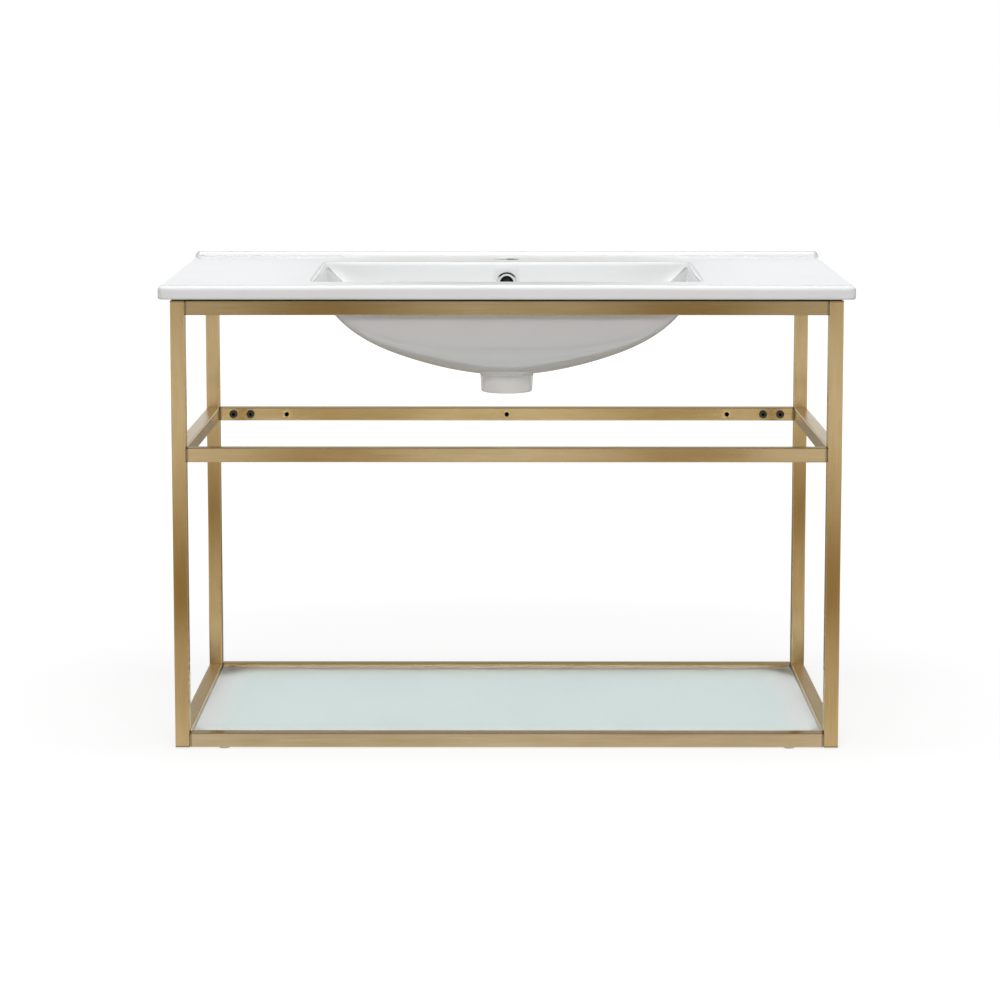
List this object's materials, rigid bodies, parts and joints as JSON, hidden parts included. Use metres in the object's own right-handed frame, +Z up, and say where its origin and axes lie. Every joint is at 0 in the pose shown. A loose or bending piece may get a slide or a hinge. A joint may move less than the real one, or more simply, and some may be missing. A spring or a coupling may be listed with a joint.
{
  "type": "console vanity unit",
  "caption": "Wall-hung console vanity: white ceramic basin top with overflow and tap hole on an open brushed-gold square-tube frame with a loose frosted glass shelf.",
  "frame": {"origin": "on the floor plane under the bumpers, in the middle of the ceramic top's plan", "axes": "+X to the right as seen from the front, +Y towards the wall behind the unit, +Z up"},
  "size_m": [0.91, 0.465, 0.6327],
  "materials": {
    "ceramic": "gloss white glaze",
    "chrome": "polished",
    "gold": "brushed gold plating, brush lines along each tube",
    "steel": "plain zinc-plated steel",
    "black_bolt": "black oxide",
    "black_plastic": "moulded plugs and foam strips",
    "clear_pad": "clear soft plastic",
    "frosted_glass": "frosted pale green glass with clear edges"
  },
  "bodies": {
    "frame": {"basin_top": "ceramic", "overflow_ring": "chrome", "leg_front_left": "gold", "leg_front_right": "gold", "leg_back_left": "gold", "leg_back_right": "gold", "bottom_rail_front": "gold", "bottom_rail_back": "gold", "bottom_rail_left": "gold", "bottom_rail_right": "gold", "middle_rail_front": "gold", "middle_rail_back": "gold", "middle_rail_left": "gold", "middle_rail_right": "gold", "top_rail_front": "gold", "top_rail_back": "gold", "top_rail_left": "gold", "top_rail_right": "gold", "rail_tongues_front_left": "steel", "rail_tongues_front_right": "steel", "rail_tongues_back_left": "steel", "rail_tongues_back_right": "steel", "bottom_bolts_front": "black_bolt", "bottom_bolts_back": "black_bolt", "middle_bolts_front": "black_bolt", "middle_bolts_back": "black_bolt", "top_bolts_front": "black_bolt", "top_bolts_back": "black_bolt", "leg_plugs_top": "black_plastic", "leg_plugs_bottom": "black_plastic", "shelf_gussets": "gold", "shelf_pads": "clear_pad", "sink_strips": "black_plastic", "bumpers": "clear_pad"},
    "shelf": {"glass_shelf": "frosted_glass"}
  },
  "joints": [
    {"name": "shelf_lift", "type": "slide", "parent": "frame", "child": "shelf", "axis": [0, 0, 1], "range_m": [0, 0.3]}
  ]
}
